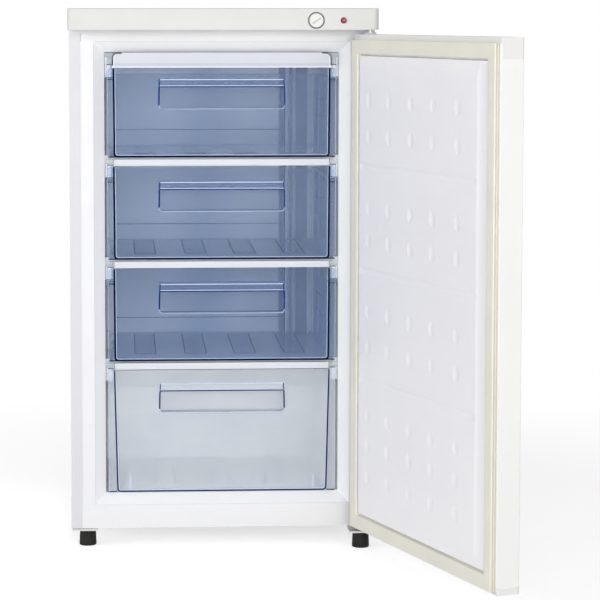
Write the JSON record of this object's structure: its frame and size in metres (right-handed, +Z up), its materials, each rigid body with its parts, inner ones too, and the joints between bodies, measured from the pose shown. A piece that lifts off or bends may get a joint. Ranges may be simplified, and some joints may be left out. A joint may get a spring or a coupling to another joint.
{
  "type": "upright freezer",
  "caption": "Under-counter upright freezer, white, door open on right-hand hinges, clear blue pull-out drawers on evaporator shelves, worktop with dial.",
  "frame": {"origin": "on the floor, at the bottom centre of the whole object's box with its door open as in the picture", "axes": "+Z up; +Y from the open front to the back of the cabinet; +X to the right as the user faces it"},
  "size_m": [0.6301, 0.9286, 0.845],
  "materials": {
    "white_steel": "gloss enamel on sheet steel",
    "grey_steel": "galvanised sheet",
    "white_plastic": "satin moulded plastic",
    "liner_plastic": "thermoformed white sheet",
    "foam": "rigid foam",
    "blue_clear": "clear blue-tinted moulding",
    "pale_clear": "clear pale moulding",
    "clip_clear": "milky clear moulding",
    "gasket_vinyl": "soft cream vinyl with a magnet strip",
    "black_plastic": "black moulding",
    "black_paint": "black enamel",
    "evaporator_white": "white coated steel tube",
    "zinc": "zinc-plated steel",
    "red_lens": "red lens",
    "rubber": "moulded rubber",
    "nylon": "nylon"
  },
  "bodies": {
    "cabinet": {"back_panel": "grey_steel", "bottom_hinge_bracket": "zinc", "bottom_panel": "white_steel", "bottom_plate_screws": "zinc", "cabinet_foam": "foam", "compressor": "black_paint", "compressor_grommets": "rubber", "compressor_terminal_cover": "black_plastic", "compressor_tray": "grey_steel", "condenser": "black_paint", "condenser_brackets": "black_plastic", "evaporator_clips": "nylon", "evaporator_risers": "evaporator_white", "evaporator_shelf_1": "evaporator_white", "evaporator_shelf_2": "evaporator_white", "evaporator_shelf_3": "evaporator_white", "evaporator_top": "evaporator_white", "indicator_lens": "red_lens", "inner_liner": "liner_plastic", "lamp_holder": "black_plastic", "left_foot_plate": "zinc", "machine_bay_panel": "grey_steel", "mains_gland": "black_plastic", "rear_foot_left": "black_plastic", "rear_foot_right": "black_plastic", "shelf_clips": "clip_clear", "shelf_trim_1": "white_plastic", "shelf_trim_2": "white_plastic", "shelf_trim_3": "white_plastic", "side_panel_left": "white_steel", "side_panel_right": "white_steel", "thermostat_body": "black_plastic", "top_hinge_bracket": "zinc", "top_hinge_screws": "zinc", "top_panel": "white_steel", "top_trim_band": "white_plastic", "trim_clip_left": "clip_clear", "trim_clip_right": "clip_clear", "worktop": "white_plastic"},
    "door": {"door_bottom_cap": "white_plastic", "door_foam": "foam", "door_gasket": "gasket_vinyl", "door_liner": "liner_plastic", "door_skin": "white_steel", "door_top_cap": "white_plastic", "hinge_bushes": "nylon"},
    "drawer_1": {"drawer_front_1": "blue_clear", "drawer_basket_1": "blue_clear"},
    "drawer_2": {"drawer_front_2": "blue_clear", "drawer_basket_2": "blue_clear"},
    "drawer_3": {"drawer_front_3": "blue_clear", "drawer_basket_3": "blue_clear"},
    "drawer_4": {"drawer_front_4": "pale_clear", "drawer_basket_4": "pale_clear"},
    "dial": {"thermostat_knob": "white_plastic"},
    "foot_left": {"levelling_foot_left": "black_plastic"},
    "foot_right": {"levelling_foot_right": "black_plastic"}
  },
  "joints": [
    {"name": "door_hinge", "type": "hinge", "parent": "cabinet", "child": "door", "pos_m": [0.14975, -0.01695, 0.42], "axis": [0, 0, 1], "range_deg": [-109, 27]},
    {"name": "drawer_1_slide", "type": "slide", "parent": "cabinet", "child": "drawer_1", "axis": [0, -1, 0], "range_m": [0, 0.3]},
    {"name": "drawer_2_slide", "type": "slide", "parent": "cabinet", "child": "drawer_2", "axis": [0, -1, 0], "range_m": [0, 0.3]},
    {"name": "drawer_3_slide", "type": "slide", "parent": "cabinet", "child": "drawer_3", "axis": [0, -1, 0], "range_m": [0, 0.3]},
    {"name": "drawer_4_slide", "type": "slide", "parent": "cabinet", "child": "drawer_4", "axis": [0, -1, 0], "range_m": [0, 0.25]},
    {"name": "thermostat_turn", "type": "hinge", "parent": "cabinet", "child": "dial", "pos_m": [0.06493, -0.0363, 0.8263], "axis": [0, -1, 0], "range_deg": [0, 270]},
    {"name": "foot_left_turn", "type": "hinge", "parent": "cabinet", "child": "foot_left", "pos_m": [-0.28907, 0.0387, 0.012], "axis": [0, 0, 1], "continuous": true},
    {"name": "foot_right_turn", "type": "hinge", "parent": "cabinet", "child": "foot_right", "pos_m": [0.13993, 0.0017, 0.012], "axis": [0, 0, 1], "continuous": true}
  ]
}
